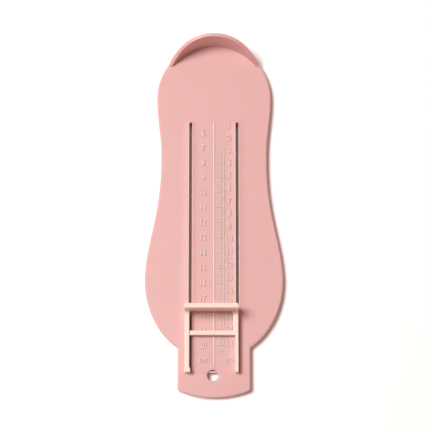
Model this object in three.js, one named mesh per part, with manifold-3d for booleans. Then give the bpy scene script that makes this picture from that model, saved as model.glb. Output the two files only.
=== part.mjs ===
// A hand-held gauge for children's feet: a foot-shaped plate with a heel wall, and a slider with a toe wall.
// Millimetres. +Z is up and +Y points from the handle tab to the heel wall. The origin is on the ground,
// at the middle of the plate's length and width.
import * as THREE from "three";
import { mergeVertices } from "three/addons/utils/BufferGeometryUtils.js";
import Module from "manifold-3d";

const wasm = await Module();
wasm.setup();

// Plate outline, from the heel end to the tab end
const HEEL_WIDTH = 75.3;
const HEEL_END_TO_WIDEST = 38.8;
const WIDEST_TO_WAIST = 39.2;
const WAIST_WIDTH = 69.3;
const WAIST_TO_BALL = 83;
const BALL_WIDTH = 89.3;
const BALL_SKEW = 1.3; // above 1, the waist is long and the ball of the foot short
const BALL_TO_TAB_END = 75;
const TOE_CURVE_REACH = 50.6; // how far the curve past the ball would reach if the tab didn't cut it
const TAB_WIDTH = 46.3;
const TAB_END_RADIUS = 60;
const TAB_CORNER_RADIUS = 1.6;
const LEAST_CORNER_RADIUS = 0.4; // of the hollow's corners under the tab

// Plate section
const SKIRT_DEPTH = 3.6; // from the ground to the plate's underside
const PLATE_THICKNESS = 2.4;
const SKIRT_WALL = 2;
const TOP_EDGE_ROUND = 0.9;

// Heel wall
const HEEL_WALL_HEIGHT = 20; // above the measuring surface
const HEEL_WALL_THICKNESS = 2.6;
const HEEL_WALL_REACH = 15.8; // how far it runs down from the heel end before it dies away
const HEEL_WALL_FALL = 1.25; // the power with which its top edge falls away
const HEEL_COVE = 0.7; // rounding between wall and plate

// Slots
const SLOT_SPACING = 30.5;
const SLOT_WIDTH = 2;
const SLOT_FROM_HEEL_WALL = 52.5;
const SLOT_FROM_TAB_END = 15.7;
const LIP_WIDTH = 0.9;
const LIP_HEIGHT = 0.25;

// Raised marks
const BEAD_WIDTH = 1.2;
const BEAD_HEIGHT = 0.5;
const BEAD_FROM_HOLE = 5.4; // from the hole's middle to the bead's end
const MARK_HEIGHT = 0.4;
const SCALE_LINE_X = 6.5;
const SCALE_LINE_WIDTH = 0.7;
const SCALE_FIRST = 71.5; // the line's ends, as foot lengths from the heel wall
const SCALE_LAST = 205.5;
const CENTIMETRE = 10;
const TICKS_PER_CENTIMETRE = 10;
const TICK_WIDTH = 0.35;
const LONG_TICK = 4.8; // every centimetre
const MIDDLE_TICK = 3.4; // every half centimetre
const SHORT_TICK = 2.3;

// Hanging hole
const HOLE_DIAMETER = 7;
const HOLE_FROM_TAB_END = 14;
const HOLE_OFFSET = -0.8; // it sits a little left of the middle
const HOLE_TUBE_WALL = 1.8;

// Ribs under the plate
const RIB_THICKNESS = 1.2;
const RIB_OVER_GROUND = 1;
const CROSS_RIB_COUNT = 5;
const HOOK_ROOM = 0.8; // free space beside a leg and its hook

// Slider
const SLIDER_LENGTH = 42.2;
const SLIDER_SHIFT = -0.2; // it lies a little left of the middle, within its sideways play
const TOE_WALL_HEIGHT = 19; // above the measuring surface
const TOE_WALL_THICKNESS = 3;
const TOE_WALL_CORNER = 1.1;
const TOE_WALL_FILLET = 3;
const LEFT_RAIL_WIDTH = 3.1;
const LEFT_RAIL_SET_OUT = 0.4; // how far the left legs stand in from their rail
const RIGHT_RAIL_WIDTH = 2.15;
const RAIL_HEIGHT = 5.5;
const RAIL_OVER_LIP = 0.25; // running clearance
const LEDGE_WIDTH = 1.4; // inner ledge of the right rail, beside the window
const LEDGE_DROP = 0.8;
const BAR_THICKNESS = 3;
const BAR_HEIGHT = 4.2;
const BAR_FROM_TOE_WALL = 12.6;
const CROSS_OVER_MARKS = 0.4; // running clearance of the toe wall and the bar
const INDEX_WIDTH = 0.7;
const INDEX_HEIGHT = 0.3;
const TAIL_FOOT_STEP = 0.7; // how far the left tail's foot stands in from its rail
const TAIL_PAST_LEG = 0.9;

// Legs with snap hooks
const LEG_LENGTH = 2;
const LEG_SET_BACK = 0.3; // the front legs behind the toe wall's measuring face
const LEG_SIDE_CLEARANCE = 0.35; // a leg's outer face to the slot's wall, with the slider in the middle
const LEG_END_CLEARANCE = 0.3; // a leg's corner to the slot's round end
const HOOK_REACH = 0.9;
const HOOK_SNAP_ROOM = 0.2; // what a slot has left when a leg and its hook are squeezed through
const HOOK_CATCH = 0.6; // upright part of the hook's face, above its lead-in slope
const HOOK_UNDER_PLATE = 0.3; // running clearance
const HOOK_OVER_GROUND = 0.9;

// Fineness of round stretches
const HEEL_STEPS = 20;
const SIDE_STEPS = 10;
const BALL_STEPS = 16;
const TAB_STEPS = 8;
const CORNER_STEPS = 4;
const EDGE_STEPS = 2;
const HOLE_SIDES = 32;
const WELD = 1e-4; // points this close are one
const OVERRUN = 1; // how far a cutter runs past what it cuts, and a joined piece into its neighbour

// Places along the plate
const PLATE_LENGTH = HEEL_END_TO_WIDEST + WIDEST_TO_WAIST + WAIST_TO_BALL + BALL_TO_TAB_END;
const HEEL_END_Y = PLATE_LENGTH / 2;
const TAB_END_Y = -PLATE_LENGTH / 2;
const HEEL_WIDEST_Y = HEEL_END_Y - HEEL_END_TO_WIDEST;
const WAIST_Y = HEEL_WIDEST_Y - WIDEST_TO_WAIST;
const BALL_Y = WAIST_Y - WAIST_TO_BALL;
const HEEL_FACE_Y = HEEL_END_Y - HEEL_WALL_THICKNESS; // foot lengths count from here
const SLOT_TOP_Y = HEEL_FACE_Y - SLOT_FROM_HEEL_WALL;
const SLOT_END_Y = TAB_END_Y + SLOT_FROM_TAB_END;
const HOLE_Y = TAB_END_Y + HOLE_FROM_TAB_END;

// Heights
const PLATE_TOP = SKIRT_DEPTH + PLATE_THICKNESS;
const INSIDE_PLATE = SKIRT_DEPTH + PLATE_THICKNESS / 2; // what joins the plate starts or ends here
const RAIL_BOTTOM = PLATE_TOP + LIP_HEIGHT + RAIL_OVER_LIP;
const RAIL_TOP = RAIL_BOTTOM + RAIL_HEIGHT;
const CROSS_BOTTOM = PLATE_TOP + Math.max(BEAD_HEIGHT, MARK_HEIGHT, LIP_HEIGHT) + CROSS_OVER_MARKS;

// Places across the slider before it is shifted. All legs stand at the same distance from the middle,
// by their slots' outer walls. The left rail lies over the outer half of its legs, which the toe wall and
// the foot of its tail hold, and the right rail lies over its slot.
const SLOT_X = SLOT_SPACING / 2;
const SLOT_RADIUS = SLOT_WIDTH / 2;
const LEG_THICKNESS = SLOT_WIDTH - HOOK_REACH - HOOK_SNAP_ROOM;
const LEG_OUTER = SLOT_X + SLOT_RADIUS - LEG_SIDE_CLEARANCE;
const LEG_INNER = LEG_OUTER - LEG_THICKNESS;
const HOOK_OUTER = LEG_OUTER + HOOK_REACH;
const LEFT_RAIL_INNER = -(LEG_INNER + LEFT_RAIL_SET_OUT);
const LEFT_RAIL_OUTER = LEFT_RAIL_INNER - LEFT_RAIL_WIDTH;
const RIGHT_RAIL_OUTER = LEG_OUTER;
const RIGHT_RAIL_INNER = RIGHT_RAIL_OUTER - RIGHT_RAIL_WIDTH;

// Places along the slider, which is at the tab's end of its travel
const LEAST_SIDE_CLEARANCE = LEG_SIDE_CLEARANCE - Math.abs(SLIDER_SHIFT);
const ROUND_END_DEPTH = SLOT_RADIUS - Math.sqrt(SLOT_RADIUS ** 2 - (SLOT_RADIUS - LEAST_SIDE_CLEARANCE) ** 2);
const REAR_LEG_Y = SLOT_END_Y + ROUND_END_DEPTH + LEG_END_CLEARANCE;
const TAIL_END_Y = REAR_LEG_Y - TAIL_PAST_LEG;
const TOE_FACE_Y = TAIL_END_Y + SLIDER_LENGTH; // the face that the toes touch
const TOE_BACK_Y = TOE_FACE_Y - TOE_WALL_THICKNESS;
const FRONT_LEG_Y = TOE_FACE_Y - LEG_SET_BACK - LEG_LENGTH;
const BAR_FRONT_Y = TOE_BACK_Y - BAR_FROM_TOE_WALL;
const BAR_BACK_Y = BAR_FRONT_Y - BAR_THICKNESS;

// Points on a quarter or part of an ellipse, from one angle to another, without the first.
// The angle counts from +X towards +Y.
function arcPoints(centreX, centreY, radiusX, radiusY, fromAngle, toAngle, steps) {
  const points = [];
  for (let i = 1; i <= steps; i++) {
    const angle = fromAngle + ((toAngle - fromAngle) * i) / steps;
    points.push(new THREE.Vector2(centreX + radiusX * Math.cos(angle), centreY + radiusY * Math.sin(angle)));
  }
  return points;
}

// Points on a smooth blend between two half widths, without the first: half a cosine wave along Y.
function blendPoints(fromX, fromY, toX, toY, skew, steps) {
  const points = [];
  for (let i = 1; i <= steps; i++) {
    const t = i / steps;
    const share = (1 - Math.cos(Math.PI * t ** skew)) / 2;
    points.push(new THREE.Vector2(fromX + (toX - fromX) * share, fromY + (toY - fromY) * t));
  }
  return points;
}

// The plate's outline, set in by a wall's thickness all round. The heel is half an ellipse, the sides blend
// from heel to waist to ball, the toe end is part of an ellipse, and the tab ends in an arc.
function outline(inset) {
  const heelHalf = HEEL_WIDTH / 2 - inset;
  const waistHalf = WAIST_WIDTH / 2 - inset;
  const ballHalf = BALL_WIDTH / 2 - inset;
  const tabHalf = TAB_WIDTH / 2 - inset;
  const heelReach = HEEL_END_TO_WIDEST - inset;
  const toeReach = TOE_CURVE_REACH - inset;
  const tabAngle = Math.acos(tabHalf / ballHalf); // where the tab's side cuts the toe curve

  // The tab's side runs down to a small round corner that meets the end arc.
  const endRadius = TAB_END_RADIUS - inset;
  const corner = Math.max(TAB_CORNER_RADIUS - inset, LEAST_CORNER_RADIUS);
  const endCentreY = TAB_END_Y + TAB_END_RADIUS;
  const cornerX = tabHalf - corner;
  const cornerY = endCentreY - Math.sqrt((endRadius - corner) ** 2 - cornerX ** 2);
  const meetAngle = Math.atan2(cornerY - endCentreY, cornerX);

  const quarter = Math.PI / 2;
  const right = [
    new THREE.Vector2(0, HEEL_END_Y - inset),
    ...arcPoints(0, HEEL_WIDEST_Y, heelHalf, heelReach, quarter, 0, HEEL_STEPS),
    ...blendPoints(heelHalf, HEEL_WIDEST_Y, waistHalf, WAIST_Y, 1, SIDE_STEPS),
    ...blendPoints(waistHalf, WAIST_Y, ballHalf, BALL_Y, BALL_SKEW, BALL_STEPS),
    ...arcPoints(0, BALL_Y, ballHalf, toeReach, 0, -tabAngle, BALL_STEPS),
    new THREE.Vector2(tabHalf, cornerY),
    ...arcPoints(cornerX, cornerY, corner, corner, 0, meetAngle, CORNER_STEPS),
    ...arcPoints(0, endCentreY, endRadius, endRadius, meetAngle, -quarter, TAB_STEPS),
  ];
  const left = right.slice(1, -1).map((p) => new THREE.Vector2(-p.x, p.y));
  return new THREE.Shape([...left, ...right.reverse()]);
}

// The heel's half ellipse by itself, set in by a wall's thickness.
function heelShape(inset) {
  const half = HEEL_WIDTH / 2 - inset;
  const reach = HEEL_END_TO_WIDEST - inset;
  const start = new THREE.Vector2(half, HEEL_WIDEST_Y);
  return new THREE.Shape([start, ...arcPoints(0, HEEL_WIDEST_Y, half, reach, 0, Math.PI, 2 * HEEL_STEPS)]);
}

// The plan of a slot, grown by a margin all round.
function slotShape(x, margin) {
  const radius = SLOT_RADIUS + margin;
  const shape = new THREE.Shape();
  shape.absarc(x, SLOT_TOP_Y - SLOT_RADIUS, radius, 0, Math.PI, false);
  shape.absarc(x, SLOT_END_Y + SLOT_RADIUS, radius, Math.PI, 2 * Math.PI, false);
  shape.closePath();
  return shape;
}

// A closed geometry as a solid that can be joined and cut.
function solid(geometry) {
  const bare = geometry.clone();
  bare.deleteAttribute("normal");
  bare.deleteAttribute("uv");
  const merged = mergeVertices(bare, WELD);
  const vertProperties = merged.attributes.position.array;
  const triVerts = new Uint32Array(merged.index.array);
  return new wasm.Manifold(new wasm.Mesh({ numProp: 3, vertProperties, triVerts }));
}

// A solid as a named mesh.
function mesh(name, made, material) {
  const raw = made.getMesh();
  const geometry = new THREE.BufferGeometry();
  geometry.setAttribute("position", new THREE.BufferAttribute(raw.vertProperties, 3));
  geometry.setIndex(new THREE.BufferAttribute(raw.triVerts, 1));
  const flat = geometry.toNonIndexed();
  flat.computeVertexNormals();
  const part = new THREE.Mesh(flat, material);
  part.name = name;
  return part;
}

// A shape drawn in plan, raised from one height to another. A round is taken off both ends' edges.
function prism(shape, low, high, round = 0) {
  const geometry = new THREE.ExtrudeGeometry(shape, {
    depth: high - low - 2 * round,
    bevelEnabled: round > 0,
    bevelThickness: round,
    bevelSize: round,
    bevelOffset: -round,
    bevelSegments: EDGE_STEPS,
    curveSegments: CORNER_STEPS,
  });
  geometry.translate(0, 0, low + round);
  return solid(geometry);
}

// A shape drawn from the right side, in Y and Z, carried along X from one place to another.
function sidePrism(shape, fromX, toX) {
  const geometry = new THREE.ExtrudeGeometry(shape, {
    depth: toX - fromX,
    bevelEnabled: false,
    curveSegments: CORNER_STEPS,
  });
  geometry.rotateX(Math.PI / 2);
  geometry.rotateZ(Math.PI / 2);
  geometry.translate(fromX, 0, 0);
  return solid(geometry);
}

// A shape drawn from the tab's end, in X and Z, carried along Y from one place to another.
function frontPrism(shape, fromY, toY) {
  const geometry = new THREE.ExtrudeGeometry(shape, { depth: toY - fromY, bevelEnabled: false });
  geometry.rotateX(Math.PI / 2);
  geometry.translate(0, toY, 0);
  return solid(geometry);
}

// A box, from its two places on each axis, in either order.
function block([x0, x1], [y0, y1], [z0, z1]) {
  const geometry = new THREE.BoxGeometry(Math.abs(x1 - x0), Math.abs(y1 - y0), Math.abs(z1 - z0));
  geometry.translate((x0 + x1) / 2, (y0 + y1) / 2, (z0 + z1) / 2);
  return solid(geometry);
}

// An upright round bar.
function rod(x, y, radius, low, high) {
  const geometry = new THREE.CylinderGeometry(radius, radius, high - low, HOLE_SIDES);
  geometry.rotateX(Math.PI / 2);
  geometry.translate(x, y, (low + high) / 2);
  return solid(geometry);
}

// All solids of a list as one.
function joined(solids) {
  return solids.reduce((whole, next) => whole.add(next));
}

// The plate with its skirt, hollow underneath.
function shell() {
  const whole = prism(outline(0), -TOP_EDGE_ROUND - OVERRUN, PLATE_TOP, TOP_EDGE_ROUND);
  const reach = [-PLATE_LENGTH, PLATE_LENGTH];
  const ground = block(reach, reach, [-PLATE_LENGTH, 0]);
  const hollow = prism(outline(SKIRT_WALL), -OVERRUN, SKIRT_DEPTH);
  return whole.subtract(ground).subtract(hollow);
}

// The upright crescent round the heel. Its top edge falls away on both sides by a power of the distance
// from the heel end, and a small cove joins it to the plate.
function heelWall() {
  const top = PLATE_TOP + HEEL_WALL_HEIGHT;
  const around = prism(heelShape(0), INSIDE_PLATE, top + OVERRUN);
  const inside = prism(heelShape(HEEL_WALL_THICKNESS), PLATE_TOP, top + HEEL_COVE + OVERRUN, HEEL_COVE);
  const side = new THREE.Shape();
  side.moveTo(HEEL_END_Y - HEEL_WALL_REACH, INSIDE_PLATE - OVERRUN);
  side.lineTo(HEEL_END_Y + OVERRUN, INSIDE_PLATE - OVERRUN);
  side.lineTo(HEEL_END_Y + OVERRUN, top);
  for (let i = 0; i <= HEEL_STEPS; i++) {
    const t = i / HEEL_STEPS;
    const height = HEEL_WALL_HEIGHT * (1 - t ** HEEL_WALL_FALL);
    side.lineTo(HEEL_END_Y - t * HEEL_WALL_REACH, PLATE_TOP + height);
  }
  side.closePath();
  return around.subtract(inside).intersect(sidePrism(side, -HEEL_WIDTH, HEEL_WIDTH));
}

// The length of the tick that is a number of ticks away from the heel wall.
function tickLength(n) {
  if (n % TICKS_PER_CENTIMETRE === 0) {
    return LONG_TICK;
  }
  return (2 * n) % TICKS_PER_CENTIMETRE === 0 ? MIDDLE_TICK : SHORT_TICK;
}

// The scale's line with its ticks, drawn in plan as one comb.
function scaleComb() {
  const right = SCALE_LINE_X + SCALE_LINE_WIDTH / 2;
  const spine = SCALE_LINE_X - SCALE_LINE_WIDTH / 2;
  const pitch = CENTIMETRE / TICKS_PER_CENTIMETRE;
  const half = TICK_WIDTH / 2;
  const first = Math.ceil((SCALE_FIRST + half) / pitch);
  const last = Math.floor((SCALE_LAST - half) / pitch);
  const comb = new THREE.Shape();
  comb.moveTo(right, HEEL_FACE_Y - SCALE_LAST);
  comb.lineTo(right, HEEL_FACE_Y - SCALE_FIRST);
  comb.lineTo(spine, HEEL_FACE_Y - SCALE_FIRST);
  for (let n = first; n <= last; n++) {
    const y = HEEL_FACE_Y - n * pitch;
    const tip = spine - tickLength(n);
    comb.lineTo(spine, y + half);
    comb.lineTo(tip, y + half);
    comb.lineTo(tip, y - half);
    comb.lineTo(spine, y - half);
  }
  comb.lineTo(spine, HEEL_FACE_Y - SCALE_LAST);
  comb.closePath();
  return prism(comb, INSIDE_PLATE, PLATE_TOP + MARK_HEIGHT);
}

// The bead down the middle, between the slots' top ends and the hanging hole.
function bead() {
  const half = BEAD_WIDTH / 2;
  return block([-half, half], [HOLE_Y + BEAD_FROM_HOLE, SLOT_TOP_Y], [INSIDE_PLATE, PLATE_TOP + BEAD_HEIGHT]);
}

// Ribs on both sides of each slot, and cross ribs from them to each other and to the skirt.
function ribs() {
  const heights = [RIB_OVER_GROUND, INSIDE_PLATE];
  const outerRib = HOOK_OUTER + HOOK_ROOM;
  const innerRib = SLOT_X - SLOT_RADIUS - HOOK_ROOM - RIB_THICKNESS;
  const half = RIB_THICKNESS / 2;
  const all = [];
  for (const side of [-1, 1]) {
    for (const near of [innerRib, outerRib]) {
      all.push(block([side * near, side * (near + RIB_THICKNESS)], [SLOT_END_Y, SLOT_TOP_Y], heights));
    }
  }
  const firstY = SLOT_END_Y + half;
  const pitch = (SLOT_TOP_Y - half - firstY) / (CROSS_RIB_COUNT - 1);
  for (let i = 0; i < CROSS_RIB_COUNT; i++) {
    const y = firstY + i * pitch;
    all.push(block([-innerRib - half, innerRib + half], [y - half, y + half], heights));
    for (const side of [-1, 1]) {
      all.push(block([side * (outerRib + half), side * BALL_WIDTH], [y - half, y + half], heights));
    }
  }
  return joined(all).intersect(prism(outline(SKIRT_WALL / 2), 0, PLATE_TOP));
}

// The free way of a slot's hooks under the plate.
function hookWay(side) {
  const near = side * (SLOT_X - SLOT_RADIUS);
  return block([near, side * (HOOK_OUTER + HOOK_ROOM)], [SLOT_END_Y, SLOT_TOP_Y], [-OVERRUN, SKIRT_DEPTH]);
}

function measuringPlate() {
  const tubeRadius = HOLE_DIAMETER / 2 + HOLE_TUBE_WALL;
  const tube = rod(HOLE_OFFSET, HOLE_Y, tubeRadius, 0, INSIDE_PLATE);
  let plate = joined([shell(), heelWall(), scaleComb(), bead(), ribs(), tube]);
  for (const side of [-1, 1]) {
    const x = side * SLOT_X;
    const slotTop = PLATE_TOP + LIP_HEIGHT;
    plate = plate.add(prism(slotShape(x, LIP_WIDTH), SKIRT_DEPTH, slotTop));
    plate = plate.subtract(prism(slotShape(x, 0), -OVERRUN, slotTop + OVERRUN));
    plate = plate.subtract(hookWay(side));
  }
  return plate.subtract(rod(HOLE_OFFSET, HOLE_Y, HOLE_DIAMETER / 2, -OVERRUN, PLATE_TOP + OVERRUN));
}

// A leg that goes down through a slot, with a hook that faces outwards under the plate.
function leg(side, fromY) {
  const hookTop = SKIRT_DEPTH - HOOK_UNDER_PLATE;
  const legTop = RAIL_BOTTOM + OVERRUN;
  const section = new THREE.Shape();
  section.moveTo(side * LEG_INNER, legTop);
  section.lineTo(side * LEG_INNER, HOOK_OVER_GROUND);
  section.lineTo(side * LEG_OUTER, HOOK_OVER_GROUND);
  section.lineTo(side * HOOK_OUTER, hookTop - HOOK_CATCH);
  section.lineTo(side * HOOK_OUTER, hookTop);
  section.lineTo(side * LEG_OUTER, hookTop);
  section.lineTo(side * LEG_OUTER, legTop);
  section.closePath();
  return frontPrism(section, fromY, fromY + LEG_LENGTH);
}

// The fillet that leads from the toe wall's back down on to a rail.
function wallFillet(fromX, toX) {
  const radius = TOE_WALL_FILLET;
  const side = new THREE.Shape();
  side.moveTo(TOE_BACK_Y - radius, RAIL_TOP - OVERRUN);
  side.lineTo(TOE_BACK_Y + OVERRUN, RAIL_TOP - OVERRUN);
  side.lineTo(TOE_BACK_Y + OVERRUN, RAIL_TOP + radius);
  side.lineTo(TOE_BACK_Y, RAIL_TOP + radius);
  side.absarc(TOE_BACK_Y - radius, RAIL_TOP + radius, radius, 0, -Math.PI / 2, true);
  side.closePath();
  return sidePrism(side, fromX, toX);
}

// The toe wall in plan, with its two corners at the measuring face rounded.
function toeWallShape() {
  const radius = TOE_WALL_CORNER;
  const shape = new THREE.Shape();
  shape.moveTo(LEFT_RAIL_OUTER, TOE_BACK_Y);
  shape.lineTo(RIGHT_RAIL_OUTER, TOE_BACK_Y);
  shape.absarc(RIGHT_RAIL_OUTER - radius, TOE_FACE_Y - radius, radius, 0, Math.PI / 2, false);
  shape.absarc(LEFT_RAIL_OUTER + radius, TOE_FACE_Y - radius, radius, Math.PI / 2, Math.PI, false);
  shape.closePath();
  return shape;
}

// The two rails. The left one has a foot at its tail's end that stands in over the leg below it.
function rails() {
  const along = [TAIL_END_Y, TOE_FACE_Y - TOE_WALL_CORNER];
  const footAlong = [TAIL_END_Y, REAR_LEG_Y + LEG_LENGTH];
  const heights = [RAIL_BOTTOM, RAIL_TOP];
  return joined([
    block([LEFT_RAIL_OUTER, LEFT_RAIL_INNER], along, heights),
    block([LEFT_RAIL_INNER - OVERRUN, LEFT_RAIL_INNER + TAIL_FOOT_STEP], footAlong, heights),
    block([RIGHT_RAIL_INNER, RIGHT_RAIL_OUTER], along, heights),
  ]);
}

// The bar between the rails with its index, and the ledge beside the window that it closes off.
function crossBar() {
  const across = [LEFT_RAIL_INNER - OVERRUN, RIGHT_RAIL_INNER + OVERRUN];
  const along = [BAR_BACK_Y, BAR_FRONT_Y];
  const top = CROSS_BOTTOM + BAR_HEIGHT;
  const index = INDEX_WIDTH / 2;
  const ledgeAcross = [RIGHT_RAIL_INNER - LEDGE_WIDTH, RIGHT_RAIL_INNER + OVERRUN];
  return joined([
    block(across, along, [CROSS_BOTTOM, top]),
    block([-index, index], along, [top - OVERRUN, top + INDEX_HEIGHT]),
    block(ledgeAcross, [BAR_BACK_Y, TOE_BACK_Y + OVERRUN], [CROSS_BOTTOM, RAIL_TOP - LEDGE_DROP]),
  ]);
}

function toeSlider() {
  return joined([
    prism(toeWallShape(), CROSS_BOTTOM, PLATE_TOP + TOE_WALL_HEIGHT),
    rails(),
    crossBar(),
    wallFillet(LEFT_RAIL_OUTER, LEFT_RAIL_INNER),
    wallFillet(RIGHT_RAIL_INNER, RIGHT_RAIL_OUTER),
    leg(-1, REAR_LEG_Y),
    leg(1, REAR_LEG_Y),
    leg(-1, FRONT_LEG_Y),
    leg(1, FRONT_LEG_Y),
  ]).translate([SLIDER_SHIFT, 0, 0]);
}

const pinkPlastic = new THREE.MeshStandardMaterial({ color: 0xecb6b1, roughness: 0.5, metalness: 0 });
const creamPlastic = new THREE.MeshStandardMaterial({ color: 0xfbe6d8, roughness: 0.45, metalness: 0 });

const gauge = new THREE.Group();
gauge.name = "foot_measuring_gauge";
gauge.add(mesh("measuring_plate", measuringPlate(), pinkPlastic));
gauge.add(mesh("toe_slider", toeSlider(), creamPlastic));

export default gauge;
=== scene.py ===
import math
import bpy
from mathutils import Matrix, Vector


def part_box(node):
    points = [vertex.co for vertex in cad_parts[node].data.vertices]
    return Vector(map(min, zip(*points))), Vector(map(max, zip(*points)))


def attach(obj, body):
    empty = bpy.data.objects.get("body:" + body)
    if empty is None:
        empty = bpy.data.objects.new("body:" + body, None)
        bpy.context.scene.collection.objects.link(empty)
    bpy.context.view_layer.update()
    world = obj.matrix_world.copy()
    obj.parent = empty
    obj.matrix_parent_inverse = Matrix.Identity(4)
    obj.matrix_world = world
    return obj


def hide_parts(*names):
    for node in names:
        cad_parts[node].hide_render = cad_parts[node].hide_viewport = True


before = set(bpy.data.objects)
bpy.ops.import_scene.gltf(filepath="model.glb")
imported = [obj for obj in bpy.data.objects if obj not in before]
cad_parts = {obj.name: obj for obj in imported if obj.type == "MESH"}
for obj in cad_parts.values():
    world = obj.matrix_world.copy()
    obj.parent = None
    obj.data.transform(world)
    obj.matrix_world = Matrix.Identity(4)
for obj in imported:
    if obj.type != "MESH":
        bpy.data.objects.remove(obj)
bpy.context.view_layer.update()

# A hand-held gauge for children's feet: a pink foot-shaped plate with a heel wall, and a cream slider with a
# toe wall. Metres, +Z up, +Y from the handle tab to the heel wall. In the functions, s holds a group's sizes
# and p the places that follow from them.
from types import SimpleNamespace

import bmesh
import bpy
import numpy as np
from mathutils import Vector

bl_info = {
    "name": "Foot Gauge",
    "version": (1, 0, 0),
    "blender": (4, 5, 0),
    "location": "3D View > Sidebar > Foot Gauge",
    "description": "Plate, scale, slider and studio of a foot measuring gauge",
    "category": "Object",
}

MM = 0.001
PLATE_BODY = "plate"
SLIDER_BODY = "slider"

PLATE_LOW, PLATE_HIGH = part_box("measuring_plate")
SLIDER_LOW, SLIDER_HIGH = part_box("toe_slider")

# How fine the meshes are
ARC_STEPS = 8
ROUND_STEPS = 5
END_ROWS = 14
SHORT_ROWS = 6
TAB_ROWS = 5
WAIST_ROWS = 7
HEEL_ROWS = 44
SIDE_ROWS = 34
PLANE_COLUMNS = 4
SAMPLES = 6000
SETTLE_ROUNDS = 4
WELD = 1e-6
ROUNDING = 1e-6

# How far marks and letters start below the plate's surface, and the height of the built-in font's digits
SUNK = 0.15 * MM
FONT_DIGIT = 0.71
# Shares: the least of a tab corner's radius, the part of a lip that swells, the slope at a bar's ends
LEAST_CORNER = 0.25
LIP_SWELL = 0.6
END_SLOPE = 0.2


def length(name, description, millimetres):
    """A length property. Its default is in millimetres."""
    return bpy.props.FloatProperty(
        name=name, description=description, default=millimetres * MM, unit="LENGTH", precision=5
    )


def colour(name, description, rgb):
    """A colour property, in linear light."""
    return bpy.props.FloatVectorProperty(
        name=name, description=description, default=rgb, subtype="COLOR", size=3, min=0, max=1
    )


def amount(name, description, value, high=1.0, unit="NONE"):
    """A number from 0 up."""
    return bpy.props.FloatProperty(
        name=name, description=description, default=value, min=0, max=high, unit=unit
    )


def whole(name, description, value):
    """A whole number from 1 up."""
    return bpy.props.IntProperty(name=name, description=description, default=value, min=1)


class FOOTGAUGE_PG_plate(bpy.types.PropertyGroup):
    """Sizes of the plate moulding"""

    heel_width: length("Heel width", "At its widest place", 75.3)
    heel_to_widest: length("Heel to widest", "From the heel's end", 38.8)
    widest_to_waist: length("Widest to waist", "From heel to waist", 39.2)
    waist_width: length("Waist width", "Between heel and ball", 69.3)
    waist_to_ball: length("Waist to ball", "From waist to ball", 83)
    ball_skew: amount("Ball skew", "Above 1, the waist is long", 1.3, 3)
    toe_reach: length("Toe reach", "Of the toe curve if no tab cut it", 50.6)
    tab_width: length("Tab width", "Of the handle tab", 46.3)
    tab_end_radius: length("Tab end radius", "Of its curved end", 60)
    tab_corner: length("Tab corner", "Radius of its two corners", 1.9)
    junction: length("Junction", "Run of the curve from toe end to tab", 1.6)
    height: length("Plate height", "From the ground to its top", 6)
    thickness: length("Plate thickness", "Between its skirts", 2.4)
    skirt: length("Skirt wall", "Its thickness", 2)
    edge_round: length("Edge rounding", "Radius of the upper edge", 0.9)
    foot_round: length("Foot rounding", "Radius of the skirt's lower edges", 0.3)
    wall_thickness: length("Heel wall thickness", "At its foot", 2.6)
    wall_draft: length("Heel wall draft", "Thinner by this at its rim", 0.25)
    wall_reach: length("Heel wall reach", "How far it runs from the heel's end", 15.8)
    wall_fall: amount("Heel wall fall", "Power of its rim's fall", 1.25, 3)
    wall_cove: length("Heel wall cove", "Between wall and plate", 0.7)
    rim_round: length("Rim rounding", "Radius of the rim's edges", 0.45)
    slot_spacing: length("Slot spacing", "Between their middle lines", 30.5)
    slot_width: length("Slot width", "Clear width", 2)
    slot_from_heel_wall: length("Slot from heel wall", "From the wall's face", 52.5)
    slot_from_tab_end: length("Slot from tab end", "To the slots' lower end", 15.7)
    lip_width: length("Lip width", "Of the lip round a slot", 0.9)
    lip_height: length("Lip height", "Of the raised lip", 0.25)
    lip_round: length("Lip rounding", "Radius of its edge at the slot", 0.15)
    hole_diameter: length("Hole diameter", "Clear width", 7)
    hole_from_tab_end: length("Hole from tab end", "To the hole's middle", 14)
    hole_offset: length("Hole offset", "Right of the middle", -0.8)
    hole_round: length("Hole rounding", "Radius of its upper edge", 0.4)
    tube_wall: length("Tube wall", "Of the tube under the hole", 1.8)
    rib_thickness: length("Rib thickness", "Under the plate", 1.2)
    rib_over_ground: length("Rib over ground", "Gap under the ribs", 1)
    cross_ribs: whole("Cross ribs", "How many", 5)
    hook_room: length("Hook room", "Free beside legs and hooks", 0.8)


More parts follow.
